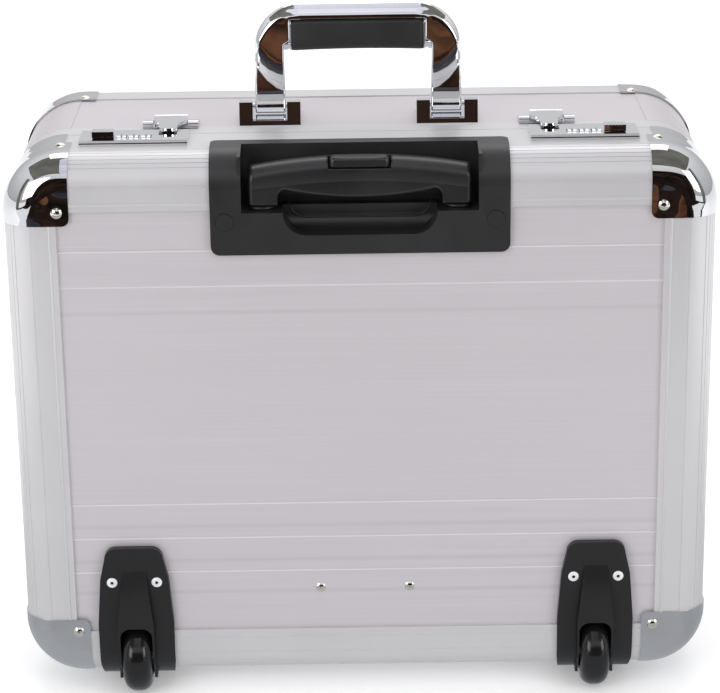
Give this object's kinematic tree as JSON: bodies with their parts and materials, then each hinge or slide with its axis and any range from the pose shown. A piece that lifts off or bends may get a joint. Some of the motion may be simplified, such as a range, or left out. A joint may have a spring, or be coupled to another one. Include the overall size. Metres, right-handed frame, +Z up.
{
  "type": "wheeled attache case",
  "caption": "Clamshell aluminium attache case with ribbed frame, chrome corner caps, combination locks, folding carry handle, pull-out trolley handle and wheels.",
  "frame": {"origin": "centre of the bounding box, at ground level under the wheels and front feet", "axes": "+X across the case to its right seen from the trolley side, +Y from the trolley side to the front shell, +Z up"},
  "size_m": [0.475, 0.2195, 0.463],
  "materials": {
    "aluminium_panel": "brushed, satin",
    "aluminium_frame": "ribbed extrusion, satin",
    "chrome_cap": "polished",
    "chrome_fitting": "polished",
    "rivet": "polished, slightly warm",
    "steel_tube": "bright drawn tube",
    "steel_small": "plated",
    "black_moulding": "fine texture",
    "grip_moulding": "satin",
    "tyre": "polished hard rubber",
    "hub": "moulded",
    "dial": "plated with dark numbers",
    "lining": "woven lining over board"
  },
  "bodies": {
    "back_shell": {"back_panel": "aluminium_panel", "back_frame_top": "aluminium_frame", "back_frame_bottom": "aluminium_frame", "back_frame_left": "aluminium_frame", "back_frame_right": "aluminium_frame", "back_corner_caps": "chrome_cap", "back_rivets": "rivet", "back_seam_ring": "aluminium_frame", "back_liner": "lining", "lock_left": "chrome_fitting", "lock_right": "chrome_fitting", "trolley_cup": "black_moulding", "cup_plugs": "black_moulding", "outer_tubes": "steel_small", "tube_bracket": "black_moulding", "wheel_housing_left": "black_moulding", "wheel_housing_right": "black_moulding", "wheel_axles": "steel_small", "hinge_leaves_back": "steel_small", "hinge_pins": "steel_small", "stay_pivots": "steel_small"},
    "front_shell": {"front_panel": "aluminium_panel", "front_frame_ends": "aluminium_frame", "front_frame_sides": "aluminium_frame", "front_corner_caps": "chrome_cap", "front_rivets": "rivet", "front_seam_ring": "aluminium_frame", "front_band_panels": "aluminium_panel", "front_band_corners": "aluminium_panel", "front_liner": "lining", "feet": "black_moulding", "handle_bases": "chrome_fitting", "handle_pins": "steel_small", "hasp_bases": "chrome_fitting", "hasp_pins": "steel_small", "hinge_leaves_front": "steel_small", "stay_pegs": "steel_small"},
    "carry_handle": {"handle_bail": "chrome_fitting", "handle_grip": "grip_moulding"},
    "left_hasp": {"hasp_left": "chrome_fitting"},
    "right_hasp": {"hasp_right": "chrome_fitting"},
    "left_stay": {"stay_left": "steel_small"},
    "right_stay": {"stay_right": "steel_small"},
    "trolley_mid": {"mid_tubes": "steel_tube"},
    "trolley_top": {"inner_tubes": "steel_tube", "trolley_grip": "grip_moulding"},
    "release_button": {"trolley_button": "grip_moulding"},
    "left_wheel": {"hub_left": "hub", "tyre_left": "tyre"},
    "right_wheel": {"hub_right": "hub", "tyre_right": "tyre"},
    "left_slide": {"slide_left": "chrome_fitting"},
    "right_slide": {"slide_right": "chrome_fitting"},
    "left_dial_1": {"dial_left_1": "dial"},
    "left_dial_2": {"dial_left_2": "dial"},
    "left_dial_3": {"dial_left_3": "dial"},
    "right_dial_1": {"dial_right_1": "dial"},
    "right_dial_2": {"dial_right_2": "dial"},
    "right_dial_3": {"dial_right_3": "dial"}
  },
  "joints": [
    {"name": "lid_hinge", "type": "hinge", "parent": "back_shell", "child": "front_shell", "pos_m": [0, -0.03075, 0.0075], "axis": [-1, 0, 0], "range_deg": [0, 95]},
    {"name": "left_stay_turn", "type": "hinge", "parent": "back_shell", "child": "left_stay", "pos_m": [-0.2256, -0.05016, 0.07994], "axis": [-1, 0, 0], "range_deg": [0, 47.5]},
    {"name": "right_stay_turn", "type": "hinge", "parent": "back_shell", "child": "right_stay", "pos_m": [0.2256, -0.05016, 0.07994], "axis": [-1, 0, 0], "range_deg": [0, 47.5]},
    {"name": "carry_handle_fold", "type": "hinge", "parent": "front_shell", "child": "carry_handle", "pos_m": [0, 0.01025, 0.392], "axis": [1, 0, 0], "range_deg": [-80, 80]},
    {"name": "left_hasp_lift", "type": "hinge", "parent": "front_shell", "child": "left_hasp", "pos_m": [-0.127, -0.00475, 0.388], "axis": [-1, 0, 0], "range_deg": [0, 110]},
    {"name": "left_slide_push", "type": "slide", "parent": "back_shell", "child": "left_slide", "axis": [-1, 0, 0], "range_m": [0, 0.004], "stiffness_N_per_m": 300, "springref_m": -0.002},
    {"name": "left_dial_1_spin", "type": "hinge", "parent": "back_shell", "child": "left_dial_1", "pos_m": [-0.1408, -0.05075, 0.383], "axis": [1, 0, 0], "continuous": true},
    {"name": "left_dial_2_spin", "type": "hinge", "parent": "back_shell", "child": "left_dial_2", "pos_m": [-0.1489, -0.05075, 0.383], "axis": [1, 0, 0], "continuous": true},
    {"name": "left_dial_3_spin", "type": "hinge", "parent": "back_shell", "child": "left_dial_3", "pos_m": [-0.157, -0.05075, 0.383], "axis": [1, 0, 0], "continuous": true},
    {"name": "left_wheel_spin", "type": "hinge", "parent": "back_shell", "child": "left_wheel", "pos_m": [-0.158, -0.08475, 0.025], "axis": [1, 0, 0], "continuous": true},
    {"name": "right_hasp_lift", "type": "hinge", "parent": "front_shell", "child": "right_hasp", "pos_m": [0.127, -0.00475, 0.388], "axis": [-1, 0, 0], "range_deg": [0, 110]},
    {"name": "right_slide_push", "type": "slide", "parent": "back_shell", "child": "right_slide", "axis": [1, 0, 0], "range_m": [0, 0.004], "stiffness_N_per_m": 300, "springref_m": -0.002},
    {"name": "right_dial_1_spin", "type": "hinge", "parent": "back_shell", "child": "right_dial_1", "pos_m": [0.1408, -0.05075, 0.383], "axis": [1, 0, 0], "continuous": true},
    {"name": "right_dial_2_spin", "type": "hinge", "parent": "back_shell", "child": "right_dial_2", "pos_m": [0.1489, -0.05075, 0.383], "axis": [1, 0, 0], "continuous": true},
    {"name": "right_dial_3_spin", "type": "hinge", "parent": "back_shell", "child": "right_dial_3", "pos_m": [0.157, -0.05075, 0.383], "axis": [1, 0, 0], "continuous": true},
    {"name": "right_wheel_spin", "type": "hinge", "parent": "back_shell", "child": "right_wheel", "pos_m": [0.158, -0.08475, 0.025], "axis": [1, 0, 0], "continuous": true},
    {"name": "trolley_mid_pull", "type": "slide", "parent": "back_shell", "child": "trolley_mid", "axis": [0, 0, 1], "range_m": [0, 0.24]},
    {"name": "trolley_top_pull", "type": "slide", "parent": "trolley_mid", "child": "trolley_top", "axis": [0, 0, 1], "range_m": [0, 0.24]},
    {"name": "release_button_push", "type": "slide", "parent": "trolley_top", "child": "release_button", "axis": [0, 0, -1], "range_m": [0, 0.0025], "stiffness_N_per_m": 500, "springref_m": -0.002}
  ],
  "couplings": [
    {"joint": "left_stay_turn", "follows": "lid_hinge", "ratio": 0.5},
    {"joint": "right_stay_turn", "follows": "lid_hinge", "ratio": 0.5}
  ]
}
